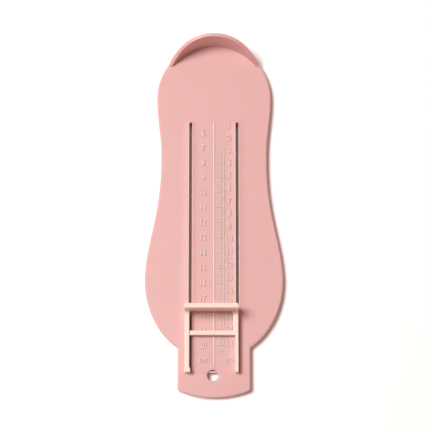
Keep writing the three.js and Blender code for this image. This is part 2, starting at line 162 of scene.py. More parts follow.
class FOOTGAUGE_PG_marks(bpy.types.PropertyGroup):
    """Sizes of the raised marks"""

    bead_width: length("Bead width", "Of the bead down the middle", 1.2)
    bead_height: length("Bead height", "Of that bead", 0.5)
    bead_from_hole: length("Bead from hole", "From the hole's middle", 5.4)
    height: length("Mark height", "Of line and ticks", 0.4)
    line_x: length("Scale line", "Right of the middle", 6.5)
    line_width: length("Line width", "Of the scale line", 0.7)
    first: length("Scale start", "Foot length at its upper end", 71.5)
    last: length("Scale end", "Foot length at its lower end", 205.5)
    tick_pitch: length("Tick pitch", "Between two ticks", 1)
    tick_width: length("Tick width", "Of a millimetre's tick", 0.35)
    middle_stress: amount("Middle stress", "Growth of half centimetres' ticks", 1.3, 3)
    long_stress: amount("Long stress", "Growth of centimetres' ticks", 1.6, 3)
    long_tick: length("Long tick", "A centimetre's", 4.8)
    middle_tick: length("Middle tick", "A half centimetre's", 3.4)
    short_tick: length("Short tick", "A millimetre's", 2.3)
    number_height: length("Number height", "Of the digits, along the plate", 4.1)
    number_width: amount("Number width", "Of a digit against the plain font's", 0.8, 2)
    number_lift: length("Number lift", "How far digits stand out of the plate", 0.7)
    left_column: length("Left column", "Place of the centimetre numbers", -6.9)
    first_centimetre: whole("First", "First centimetre number", 6)
    last_centimetre: whole("Last", "Last centimetre number", 20)
    right_column: length("Right column", "Place of the step numbers", 10.1)
    right_start: length("Right start", "Foot length at the first", 54.8)
    right_pitch: length("Right pitch", "A third of an inch", 25.4 / 3)
    right_count: whole("Steps", "How many step numbers", 18)
    label_from_wall: length("Labels", "From the heel wall's face", 209.5)


class FOOTGAUGE_PG_slider(bpy.types.PropertyGroup):
    """Sizes of the slider moulding"""

    wall_thickness: length("Toe wall thickness", "Along the plate", 3)
    wall_corner: length("Toe wall corner", "Of its upright edges at the toes", 1.1)
    wall_fillet: length("Toe wall fillet", "From its back on to the rails", 3)
    corner_fillet: length("Corner fillet", "Between its back and the rails", 1.6)
    shift: length("Sideways place", "Right of the middle, in its play", -0.2)
    leg_inner: length("Leg inner face", "From the slider's middle", 15)
    leg_outer: length("Leg outer face", "From the slider's middle", 15.9)
    left_rail: length("Left rail width", "Across the plate", 3.1)
    left_set_out: length("Left rail set out", "How far its legs stand in", 0.4)
    right_rail: length("Right rail width", "Across the plate", 2.15)
    rail_bottom: length("Rail bottom", "Its height over the ground", 6.5)
    rail_height: length("Rail height", "From its bottom", 5.5)
    cross_bottom: length("Cross bottom", "Underside of wall and bar", 6.9)
    ledge_width: length("Ledge width", "Of the right rail's inner ledge", 1.4)
    ledge_drop: length("Ledge drop", "Below the rail's top", 0.8)
    bar_thickness: length("Bar thickness", "Along the plate", 3)
    bar_height: length("Bar height", "From its underside", 4.2)
    bar_gap: length("Window length", "From the toe wall to the bar", 12.6)
    index_width: length("Index width", "Of the raised index on the bar", 0.7)
    index_height: length("Index height", "Over the bar's top", 0.3)
    foot_step: length("Tail foot step", "How far the foot stands in", 0.7)
    tail_past_leg: length("Tail past leg", "How far a tail runs past its leg", 0.9)
    leg_length: length("Leg length", "Along the slot", 2)
    leg_set_back: length("Leg set back", "Front legs behind the toe wall's face", 0.3)
    hook_reach: length("Hook reach", "How far a hook stands out", 0.9)
    hook_top: length("Hook top", "Height of its catching face", 3.3)
    hook_catch: length("Hook catch", "Upright part of its face", 0.6)
    hook_foot: length("Hook foot", "Height of a leg's lower end", 0.9)
    edge: length("Edge rounding", "Radius of the outer edges", 0.4)
    joint: length("Joint rounding", "Radius in the inner corners", 0.35)


class FOOTGAUGE_PG_finish(bpy.types.PropertyGroup):
    """Colours and surface of the two plastics"""

    pink: colour("Pink", "Of the plate", (0.7, 0.434, 0.418))
    # The next colour is a painted highlight: the lighter tops of the raised marks, where light would catch
    # them
    pink_rubbed: colour("Highlighted pink", "Of the raised marks' rubbed tops", (0.84, 0.567, 0.532))
    pink_deep: colour("Deep pink", "Of the plate's cloudier places", (0.685, 0.412, 0.392))
    cream: colour("Cream", "Of the slider", (0.865, 0.685, 0.61))
    cream_deep: colour("Deep cream", "Of the slider's cloudier places", (0.845, 0.66, 0.58))
    pink_glow: amount("Pink glow", "Light from inside the pink plastic", 0.6)
    cream_glow: amount("Cream glow", "Light from inside the cream plastic", 0.3)
    reach: bpy.props.FloatVectorProperty(
        name="Light reach", description="Of red, green and blue", default=(3.2, 0.7, 0.5), size=3
    )
    cloud_scale: amount("Cloud scale", "Of the slight clouds in the colour", 22, 999)
    roughness: amount("Roughness", "Middle roughness", 0.46)
    gloss_change: amount("Gloss change", "Of the roughness, up and down", 0.07)
    gloss_scale: amount("Gloss scale", "Of the changes in gloss", 160, 999)
    grain: length("Grain size", "Of the mould's fine texture", 0.35)
    grain_depth: length("Grain depth", "Of that texture", 0.02)
    grain_strength: amount("Grain strength", "Share of it that shows", 0.35)
    wave_scale: amount("Wave scale", "Of the long waviness", 38, 999)
    wave_depth: length("Wave depth", "Of the waviness", 0.12)
    wave_strength: amount("Wave strength", "Share of it that shows", 0.5)
    # These six bound the painted highlight on the raised marks, by height and along the plate
    rub_start: length("Highlight start", "Height where highlighting starts", 6.05)
    rub_full: length("Highlight full", "Height where they are fully rubbed", 6.22)
    rub_fade: length("Highlight fade", "Height where highlighting fades", 6.8)
    rub_stop: length("Highlight stop", "Height where highlighting stops", 7.2)
    rub_far: length("Highlight far", "Y where highlighting fades", 68)
    rub_end: length("Highlight end", "Y where highlighting stops", 72)


class FOOTGAUGE_PG_stage(bpy.types.PropertyGroup):
    """Camera, lights and floor"""

    distance: length("Camera distance", "From the camera to where it looks", 900)
    elevation: bpy.props.FloatProperty(
        name="Elevation", description="Of the camera", default=math.radians(78), subtype="ANGLE"
    )
    aim_x: length("Aim X", "Where it looks, across the plate", 0.7)
    aim_y: length("Aim Y", "Where it looks, along the plate", 0.24)
    focal: amount("Focal length", "Of the lens", 115.7, 999, "CAMERA")
    key_power: amount("Key light", "Its power", 45.5, 999, "POWER")
    key_size: length("Key size", "Its width", 850)
    key_height: length("Key height", "Its height over the plate", 2000)
    key_left: amount("Key left", "Its place leftwards, as a share of its height", 0.42)
    key_back: amount("Key back", "Its place heelwards, as a share of its height", 0.13)
    sky: amount("Sky", "Strength of the even light", 0.35, 4)
    sky_tint: colour("Sky colour", "Of the even light", (1, 0.63, 0.57))
    floor: colour("Floor", "Its colour", (1, 1, 1))
    floor_size: length("Floor size", "Its width", 20000)


def linked(name, data):
    """A new object in the scene."""
    made = bpy.data.objects.new(name, data)
    bpy.context.scene.collection.objects.link(made)
    return made


def joined(patches):
    """Several (points, faces) patches as one."""
    counts = np.cumsum([0] + [len(points) for points, _ in patches[:-1]])
    points = np.concatenate([points for points, _ in patches])
    pairs = zip([found for _, found in patches], counts)
    return points, [[int(i) + int(start) for i in face] for found, start in pairs for face in found]


def grid_patch(points, around=False):
    """A grid of points as quads between neighbours. around closes each row on itself."""
    rows, columns = points.shape[:2]
    number = np.arange(rows * columns).reshape(rows, columns)
    if around:
        number = np.concatenate([number, number[:, :1]], axis=1)
    quads = np.stack([number[:-1, :-1], number[:-1, 1:], number[1:, 1:], number[1:, :-1]], axis=-1)
    return points.reshape(-1, 3), quads.reshape(-1, 4)


def piece(name, patches, material, body, smooth_angle=40.0):
    """A named mesh object from patches. Doubles are merged, then faces are turned outwards."""
    points, faces = joined(patches)
    if not len(faces):
        raise RuntimeError(f"{name} has no faces")
    mesh = bpy.data.meshes.new(name)
    mesh.from_pydata(points.tolist(), [], faces)
    work = bmesh.new()
    work.from_mesh(mesh)
    bmesh.ops.remove_doubles(work, verts=work.verts, dist=WELD)
    bmesh.ops.dissolve_degenerate(work, edges=work.edges, dist=WELD)
    bmesh.ops.recalc_face_normals(work, faces=work.faces)
    work.to_mesh(mesh)
    work.free()
    mesh.shade_smooth()
    mesh.set_sharp_from_angle(angle=math.radians(smooth_angle))
    mesh.materials.append(material)
    made = linked(name, mesh)
    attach(made, body)
    return made


def raised(flat, height):
    """Points in plan, given a height each or together."""
    heights = np.broadcast_to(np.asarray(height, float), flat.shape[:-1])
    return np.concatenate([flat, heights[..., None]], axis=-1)


def mirrored(flat):
    """Points in plan, turned over from right to left."""
    return flat * np.array([-1.0, 1.0])


def quarter_round(steps):
    """Cosine and sine of the angles of a quarter circle."""
    angle = np.linspace(0, math.pi / 2, steps + 1)
    return np.cos(angle), np.sin(angle)


def half_wave(t):
    """Eased from 0 to 1 by half a wave of a cosine."""
    return (1 - np.cos(math.pi * t)) / 2


def plate_places(s):
    """Places that follow from the plate's sizes. slot and hole hold an opening's ends and largest radius."""
    p = SimpleNamespace()
    p.heel_y = PLATE_HIGH.y - s.heel_to_widest
    p.waist_y = p.heel_y - s.widest_to_waist
    p.ball_y = p.waist_y - s.waist_to_ball
    p.face_y = PLATE_HIGH.y - s.wall_thickness
    p.slot_x = s.slot_spacing / 2
    p.slot_radius = s.slot_width / 2
    p.lip_radius = p.slot_radius + s.lip_width
    p.slot_low = PLATE_LOW.y + s.slot_from_tab_end + p.slot_radius
    p.slot_high = PLATE_HIGH.y - s.wall_thickness - s.slot_from_heel_wall - p.slot_radius
    p.hole_y = PLATE_LOW.y + s.hole_from_tab_end
    p.tube_radius = s.hole_diameter / 2 + s.tube_wall
    p.underside = s.height - s.thickness
    p.slot = p.slot_low, p.slot_high, p.lip_radius
    p.hole = p.hole_y, p.hole_y, p.tube_radius
    return p


def parted(low, high, count):
    """The ends of equal parts."""
    return np.linspace(low, high, count + 1)[1:]


def plate_rows(s):
    """Where the rows that cross the plate lie, for each stretch of its side from the tab's end to the heel's.
    Round stretches have shares from 0 to 1, the others Y, with rows gathered at the hole and slot ends."""
    p = plate_places(s)
    cos, sin = quarter_round(ARC_STEPS)
    gap = 1.2 * MM
    below_hole = p.hole_y - p.tube_radius - gap * np.array([1, 0.5])
    beside_hole = p.hole_y + p.tube_radius * np.append(-cos, sin[1:])
    slot_start = p.slot_low - p.lip_radius * cos
    tab_top = p.ball_y - 0.85 * s.toe_reach - 2 * s.junction
    above = np.linspace(p.hole_y + p.tube_radius + gap, tab_top, TAB_ROWS)
    tab = np.unique(np.concatenate([below_hole, beside_hole, slot_start, above]))
    slot_stop = p.slot_high + p.lip_radius * sin
    to_slot_end = parted(p.waist_y, p.slot_high, WAIST_ROWS)[:-1]
    waist = np.concatenate([to_slot_end, slot_stop, parted(slot_stop[-1], p.heel_y, SHORT_ROWS)])
    end, corner = np.linspace(0, 1, END_ROWS + 1), parted(0, 1, SHORT_ROWS)
    junction, toe = np.linspace(0, 1, SHORT_ROWS + 1), parted(0, 1, SIDE_ROWS)
    to_waist, heel = parted(p.ball_y, p.waist_y, SIDE_ROWS), parted(0, 1, HEEL_ROWS)
    return [end, corner, tab, junction, toe, to_waist, waist, heel]


def row_starts(rows):
    """Number of the first row of each stretch, and of all rows."""
    return np.cumsum([0] + [len(stretch) for stretch in rows])


def plate_side(s, rows, inset):
    """The right side in plan, set in by a distance for each row. The tab ends in an arc with small corners.
    Its straight side meets the toe curve in a quadratic blend. Toe curve and heel are parts of ellipses, and
    half waves of a cosine join ball, waist and heel."""
    p = plate_places(s)
    starts = row_starts(rows)
    inset = np.broadcast_to(np.asarray(inset, float), (starts[-1],))
    end_in, corner_in, tab_in, junction_in, toe_in, ball_in, waist_in, heel_in = np.split(inset, starts[1:-1])
    end_at, corner_at, tab_at, junction_at, toe_at, ball_at, waist_at, heel_at = rows
    widths = s.tab_width, PLATE_HIGH.x - PLATE_LOW.x, s.waist_width, s.heel_width
    tab_half, ball_half, waist_half, heel_half = [width / 2 for width in widths]
    end_y = PLATE_LOW.y + s.tab_end_radius

    def corner_of(d):
        radius = np.maximum(s.tab_corner - d, LEAST_CORNER * s.tab_corner)
        x = tab_half - d - radius
        y = end_y - np.sqrt((s.tab_end_radius - d - radius) ** 2 - x**2)
        return radius, x, y, np.arctan2(x, end_y - y)

    _, _, _, meet = corner_of(end_in)
    angle = end_at * meet
    end = [(s.tab_end_radius - end_in) * np.sin(angle), end_y - (s.tab_end_radius - end_in) * np.cos(angle)]

    radius, corner_x, corner_y, meet = corner_of(corner_in)
    angle = meet + (math.pi / 2 - meet) * corner_at
    corner = [corner_x + radius * np.sin(angle), corner_y - radius * np.cos(angle)]

    tab = [tab_half - tab_in, tab_at]

    def toe_point(d, angle):
        return (ball_half - d) * np.cos(angle), p.ball_y - (s.toe_reach - d) * np.sin(angle)

    def cut_angle(d):
        return np.arccos((tab_half - d) / (ball_half - d))

    step = s.junction / s.toe_reach
    cut = cut_angle(junction_in)
    far_x, far_y = toe_point(junction_in, cut - step)
    near_x, mid_y = tab_half - junction_in, toe_point(junction_in, cut)[1]
    t = junction_at
    junction = [
        (1 - t**2) * near_x + t**2 * far_x,
        (1 - t) ** 2 * (mid_y - s.junction) + 2 * t * (1 - t) * mid_y + t**2 * far_y,
    ]

    toe = toe_point(toe_in, (cut_angle(toe_in) - step) * (1 - toe_at))

    wave = half_wave(((p.waist_y - ball_at) / s.waist_to_ball) ** s.ball_skew)
    ball = [waist_half + (ball_half - waist_half) * wave - ball_in, ball_at]
    wave = half_wave((p.heel_y - waist_at) / s.widest_to_waist)
    waist = [heel_half + (waist_half - heel_half) * wave - waist_in, waist_at]

    angle = heel_at * math.pi / 2
    heel = [(heel_half - heel_in) * np.cos(angle), p.heel_y + (s.heel_to_widest - heel_in) * np.sin(angle)]

    stretches = [end, corner, tab, junction, toe, ball, waist, heel]
    return np.concatenate([np.stack(np.broadcast_arrays(*xy), axis=-1) for xy in stretches])


def drawn_in(rows, side):
    """How far every row is drawn in towards the poles at the plate's two ends."""
    tab_start, heel_start = row_starts(rows)[[2, 7]]
    drawn = np.ones(len(side))
    drawn[:tab_start] = side[:tab_start, 0] / side[tab_start, 0]
    drawn[heel_start:] = side[heel_start:, 0] / side[heel_start - 1, 0]
    return drawn


def opening_edge(s, rows, side, opening, radius):
    """Half widths and Y of an opening with a given radius at every row, and which rows it takes up. A row
    meets a round end of any radius at the same angle, and a straight stretch at the Y of the outline."""
    low_y, high_y, full_radius = opening
    row_y = plate_side(s, rows, 0)[:, 1]
    low = np.clip((low_y - row_y) / full_radius, 0, None)
    high = np.clip((row_y - high_y) / full_radius, 0, None)
    inside = low + high < 1 + ROUNDING
    half = np.where(inside, radius * np.sqrt(np.clip(1 - (low + high) ** 2, 0, 1)), 0)
    along = np.where(inside, row_y + (full_radius - radius) * (low - high), side[:, 1])
    return half, along, inside


def plane_patches(s, rows, inset, slot_radius, hole_radius, height):
    """A flat face of the plate: four ruled strips between its sides, the two slots and the hole."""
    p = plate_places(s)
    side = plate_side(s, rows, inset)
    drawn = drawn_in(rows, side)
    slot_half, slot_y, _ = opening_edge(s, rows, side, p.slot, slot_radius)
    hole_half, hole_y, _ = opening_edge(s, rows, side, p.hole, hole_radius)
    slot_x, hole_x = p.slot_x * drawn, s.hole_offset * drawn
    slot_near, slot_far = [np.stack([slot_x + half, slot_y], axis=-1) for half in (-slot_half, slot_half)]
    hole_left, hole_right = [np.stack([hole_x + half, hole_y], axis=-1) for half in (-hole_half, hole_half)]
    strips = [
        (mirrored(side), mirrored(slot_far)),
        (mirrored(slot_near), hole_left),
        (hole_right, slot_near),
        (slot_far, side),
    ]
    across = np.linspace(0, 1, PLANE_COLUMNS + 1)[None, :, None]
    return [grid_patch(raised(a[:, None] * (1 - across) + b[:, None] * across, height)) for a, b in strips]


def loop_of(right):
    """A closed loop in plan from its right half, given from end to end on the middle line."""
    return np.concatenate([right, mirrored(right[-2:0:-1])], axis=0)


def wall_heights(s, side):
    """Height of the heel wall's rim at each row: it falls by a power of the distance from the heel end."""
    t = np.clip((PLATE_HIGH.y - side[:, 1]) / s.wall_reach, 0, 1)
    return (PLATE_HIGH.z - s.height) * (1 - t**s.wall_fall)


def edge_rings(s, rows):
    """The section carried round the plate, as insets and heights for every row: from the plate's top up a
    cove and the heel wall's inner face, over its rim, down outside, under the skirt and up to the underside.
    Where the wall has no height, the plate's rounded edge is left. Single rings beside the roundings keep
    their shading off the flat faces."""
    p = plate_places(s)
    rise = wall_heights(s, plate_side(s, rows, 0))
    full = np.ones_like(rise)
    cos, sin = quarter_round(ROUND_STEPS)
    cove = np.minimum(s.wall_cove, rise / 2)
    rim = np.minimum(s.rim_round, rise / 2)
    top = s.height + rise
    inner = s.wall_thickness - s.wall_draft * rise / (PLATE_HIGH.z - s.height)
    outer = s.edge_round - (s.edge_round - s.rim_round) * np.clip(rise / (4 * s.edge_round), 0, 1)
    foot = s.foot_round
    past_wall, past_rim, past_edge = s.wall_thickness + 0.2 * MM, 0.15 * MM, 1.3 * s.edge_round

    def ring(inset, height):
        return [(full * inset, full * height)]

    def turned(inset, height, across, up, first, second):
        """A quarter circle in a corner of the section, with signed radii across and up."""
        shares = zip(1 - first, 1 - second)
        return [(full * (inset + across * a), full * (height + up * b)) for a, b in shares]

    rings = ring(past_wall + 1.2 * cove, s.height)
    rings += turned(s.wall_thickness, s.height, cove, cove, sin, cos)
    rings += turned(inner, top, -rim, -rim, cos, sin)
    rings += ring(outer + past_rim, top)
    rings += turned(0, top, outer, -outer, sin, cos)
    rings += ring(0, s.height - past_edge)
    rings += turned(0, 0, foot, foot, cos, sin)
    rings += turned(s.skirt, 0, -foot, foot, sin, cos)
    rings += ring(s.skirt, p.underside - 2 * foot)
    rings += turned(s.skirt, p.underside, foot, -foot, cos, sin)
    return rings + ring(s.skirt + 2 * foot, p.underside)


def side_patch(s, rows, rings):
    """The section's rings, each a loop round the plate, as one closed band."""
    loops = []
    for inset, height in rings:
        heights = np.concatenate([height, height[-2:0:-1]])
        loops.append(raised(loop_of(plate_side(s, rows, inset)), heights))
    return grid_patch(np.stack(loops), around=True)


def lining_patch(s, rows, centre, opening, radii, heights):
    """An opening's lining, as a loop for every radius and height."""
    loops = []
    for radius, height in zip(np.concatenate(radii), np.concatenate(heights)):
        half, along, inside = opening_edge(s, rows, plate_side(s, rows, 0), opening, radius)
        loop = loop_of(np.stack([half, along], axis=-1)[inside])
        loops.append(raised(loop + (centre, 0), height))
    return grid_patch(np.stack(loops), around=True)


def slot_patches(s, rows):
    """Both slots' linings: a low lip that swells out of the plate, rounds over and drops to the underside."""
    p = plate_places(s)
    swell = np.linspace(0, 1, ROUND_STEPS + 1)
    cos, sin = quarter_round(ROUND_STEPS)
    radii = [p.lip_radius - LIP_SWELL * s.lip_width * swell, p.slot_radius + s.lip_round * (1 - sin)]
    lifts = [s.lip_height * half_wave(swell), s.lip_height - s.lip_round * (1 - cos)]
    heights = [s.height + lift for lift in lifts] + [[p.underside]]
    radii += [[p.slot_radius]]
    return [lining_patch(s, rows, x, p.slot, radii, heights) for x in (-p.slot_x, p.slot_x)]


def hole_patch(s, rows):
    """The hanging hole's rounded edge, its bore, and the tube round it down to the ground and back."""
    p = plate_places(s)
    bore, foot = s.hole_diameter / 2, s.foot_round
    cos, sin = quarter_round(ROUND_STEPS)
    radii = [bore + s.hole_round * (1 - sin), bore + foot * (1 - cos), p.tube_radius - foot * (1 - sin)]
    heights = [s.height - s.hole_round * (1 - cos), foot * (1 - sin), foot * (1 - cos), [p.underside]]
    return lining_patch(s, rows, s.hole_offset, p.hole, radii + [[p.tube_radius]], heights)


def block_distance(points, low, high, radius):
    """Distance to a box with rounded edges, below zero inside."""
    centre, half = (np.asarray(high) + low) / 2, (np.asarray(high) - low) / 2 - radius
    beyond = np.abs(points - centre) - half
    outside = np.linalg.norm(np.maximum(beyond, 0), axis=-1)
    return outside + np.minimum(beyond.max(axis=-1), 0) - radius


def round_union(a, b, radius):
    """Two distances joined, with a rounding of the given radius in their inner corner."""
    near = np.hypot(np.maximum(radius - a, 0), np.maximum(radius - b, 0))
    return np.maximum(radius, np.minimum(a, b)) - near


def gathered(low, high, planes, fine, coarse):
    """Grid lines whose step grows from fine at the given planes to coarse away from them."""
    sample = np.linspace(low, high, SAMPLES)
    away = np.abs(sample[:, None] - np.asarray(planes)[None]).min(axis=1)
    step = fine + (coarse - fine) * np.clip((away - 3 * fine) / (4 * fine), 0, 1)
    count = np.concatenate([[0], np.cumsum(np.diff(sample) / step[1:])])
    return np.interp(np.linspace(0, count[-1], int(count[-1]) + 1), count, sample)


def zero_surface(distance, lines):
    """The surface where a distance function is zero, as quads. A grid cell with corners on both sides holds
    one point, the mean of where its edges are crossed, and a crossed edge has a quad between its four cells.
    The points are then moved on to the surface along the function's slope."""
    grid = np.stack(np.meshgrid(*lines, indexing="ij"), axis=-1)
    value = distance(grid)
    cells = tuple(n - 1 for n in value.shape)
    total, count = np.zeros(cells + (3,)), np.zeros(cells)
    crossings = []
    for axis in range(3):
        low, high = [slice(None)] * 3, [slice(None)] * 3
        low[axis], high[axis] = slice(None, -1), slice(1, None)
        a, b = value[tuple(low)], value[tuple(high)]
        crossed = (a < 0) != (b < 0)
        along = np.where(crossed, a / np.where(crossed, a - b, 1), 0)[..., None]
        point = grid[tuple(low)] * (1 - along) + grid[tuple(high)] * along
        crossings.append(crossed)
        for shift in ((0, 0), (0, 1), (1, 0), (1, 1)):
            part = [slice(i, n + i) for i, n in zip(np.insert(shift, axis, 0), cells)]
            total += np.where(crossed[tuple(part)][..., None], point[tuple(part)], 0)
            count += crossed[tuple(part)]
    number = np.full(cells, -1)
    number[count > 0] = np.arange(np.count_nonzero(count))
    points = total[count > 0] / count[count > 0][:, None]
    faces = []
    for axis, crossed in enumerate(crossings):
        order = [axis, (axis + 1) % 3, (axis + 2) % 3]
        inner = crossed.transpose(order)[:, 1:-1, 1:-1]
        turned = number.transpose(order)
        around = [turned[:, :-1, :-1], turned[:, 1:, :-1], turned[:, 1:, 1:], turned[:, :-1, 1:]]
        faces.append(np.stack([corner[inner] for corner in around], axis=-1))
    nudge, least_slope = 0.01 * MM, 0.5
    for _ in range(SETTLE_ROUNDS):
        steps = [nudge * np.eye(3)[axis] for axis in range(3)]
        slope = np.stack([distance(points + d) - distance(points - d) for d in steps], axis=-1) / (2 * nudge)
        steepness = np.maximum((slope**2).sum(axis=-1), least_slope**2)
        points = points - (distance(points) / steepness)[:, None] * slope
    return points, np.concatenate(faces)


def rib_blocks(s):
    """Corners of the ribs under the plate: along both sides of each slot, and across from skirt to skirt, but
    not where the slider's hooks run."""
    p = plate_places(s)
    rows = plate_rows(s)
    side = plate_side(s, rows, s.skirt / 2)
    q = bpy.context.scene.foot_gauge_slider
    half = s.rib_thickness / 2
    low_y, high_y = p.slot_low - p.slot_radius, p.slot_high + p.slot_radius
    low_z, high_z = s.rib_over_ground, p.underside + s.thickness / 2
    inner = p.slot_x - p.slot_radius - s.hook_room - half
    outer = q.leg_outer + q.hook_reach + s.hook_room + half
    blocks = [((x - half, low_y, low_z), (x + half, high_y, high_z)) for x in (-outer, -inner, inner, outer)]
    for y in np.linspace(low_y + half, high_y - half, s.cross_ribs):
        edge = np.interp(y, side[:, 1], side[:, 0])
        for left, right in ((-edge, -outer), (-inner, inner), (outer, edge)):
            blocks.append(((left, y - half, low_z), (right, y + half, high_z)))
    return blocks


def blocks_surface(blocks, radius, fine, coarse):
    """Rounded boxes, given by their corners, joined into one surface."""
    corners = np.array(blocks)
    lines = []
    for axis in range(3):
        planes = np.unique(corners[..., axis].round(6))
        lines.append(gathered(planes[0] - 4 * fine, planes[-1] + 4 * fine, planes, fine, coarse))

    def distance(points):
        return np.min([block_distance(points, low, high, radius) for low, high in blocks], axis=0)

    return zero_surface(distance, lines)


def loaf_patches(centres, sizes, height, base):
    """Low bars on the plate, one for each centre: a steep section with a crowned top, carried along the bar
    and brought down at both ends. Their floor is closed a little below the surface."""
    across = np.array([-0.5, -0.46, -0.33, 0, 0.33, 0.46, 0.5])
    crown = np.array([0, 0.72, 0.94, 1, 0.94, 0.72, 0])
    centres, sizes = np.asarray(centres), np.asarray(sizes)
    height = np.broadcast_to(height, len(sizes))[:, None, None]
    slim = sizes.min(axis=1)
    half, slope = sizes[:, 1] / 2, END_SLOPE * slim
    ends = np.stack([-half, -half + slope, half - slope, half])
    lift = np.array([0.0, 1, 1, 0])
    x = centres[:, 0, None, None] + sizes[:, 0, None, None] * across + 0 * ends.T[:, :, None]
    y = centres[:, 1, None, None] + ends.T[:, :, None] + 0 * across
    z = base + height * lift[None, :, None] * crown + 0 * x
    sunk = np.where(z <= base, base - SUNK, z)
    patches = []
    for bar in np.stack([x, y, sunk], axis=-1):
        patches.append(grid_patch(bar))
        outline = np.concatenate([bar[0], bar[1:, -1], bar[-1, -2::-1], bar[-2:0:-1, 0]])
        patches.append((outline, [list(range(len(outline)))]))
    return patches


def text_patch(text, height, width, x, y, base, depth):
    """Raised plain lettering with a rounded edge, centred at a place on the plate."""
    curve = bpy.data.curves.new("lettering", "FONT")
    curve.body = text
    curve.align_x, curve.align_y = "CENTER", "CENTER"
    curve.resolution_u = 3
    curve.extrude, curve.offset = 0.02, 0.004
    curve.bevel_depth, curve.bevel_resolution = 0.022, 2
    holder = linked("lettering", curve)
    bpy.context.view_layer.update()
    made = bpy.data.meshes.new_from_object(holder.evaluated_get(bpy.context.evaluated_depsgraph_get()))
    points = np.empty(len(made.vertices) * 3)
    made.vertices.foreach_get("co", points)
    points = points.reshape(-1, 3)
    faces = [list(polygon.vertices) for polygon in made.polygons]
    bpy.data.objects.remove(holder)
    bpy.data.curves.remove(curve)
    bpy.data.meshes.remove(made)
    low, high = points.min(axis=0), points.max(axis=0)
    flat = (points[:, :2] - (low[:2] + high[:2]) / 2) * np.array([width, 1]) * height / FONT_DIGIT
    rise = base - SUNK + (points[:, 2] - low[2]) / (high[2] - low[2]) * (depth + SUNK)
    return raised(flat + np.array([x, y]), rise), faces


